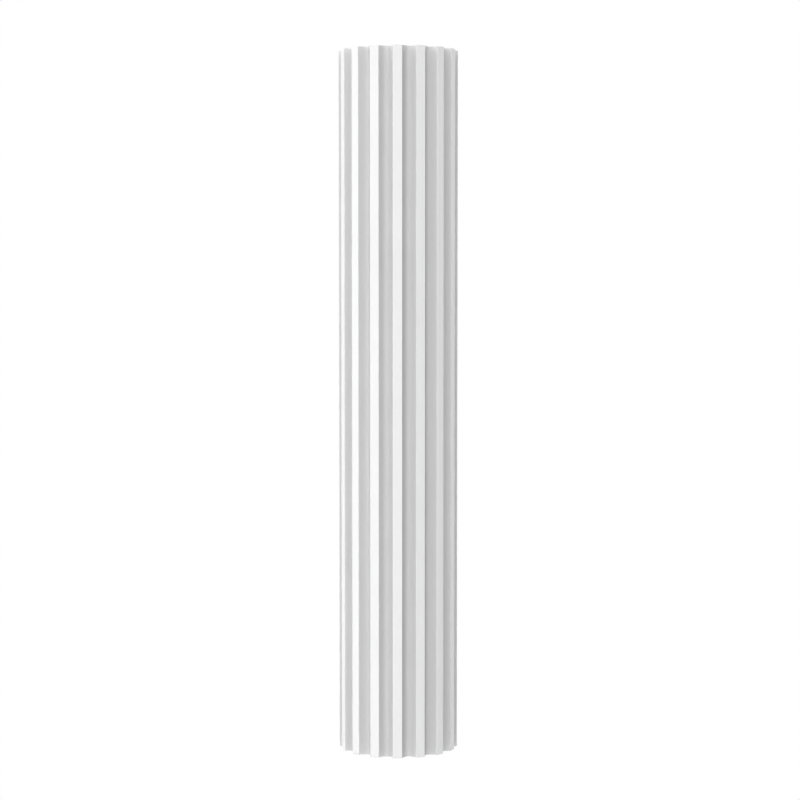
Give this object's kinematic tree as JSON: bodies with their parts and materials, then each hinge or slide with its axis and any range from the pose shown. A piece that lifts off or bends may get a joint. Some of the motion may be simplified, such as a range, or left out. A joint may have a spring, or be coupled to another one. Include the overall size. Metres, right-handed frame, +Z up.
{
  "type": "fluted column shaft",
  "caption": "Straight white fluted column shaft with flat lands between its flutes and both ends cut off flat, to stand under a beam or capital.",
  "frame": {"origin": "centre of the underside, where the shaft meets the floor", "axes": "+Z up along the shaft's axis; lands are centred on the X and Y axes, and -Y is the side nearest the picture's view"},
  "size_m": [0.4078, 0.4078, 2.4],
  "materials": {
    "white_plaster": "matt"
  },
  "bodies": {
    "root": {"fluted_shaft": "white_plaster"}
  },
  "joints": []
}
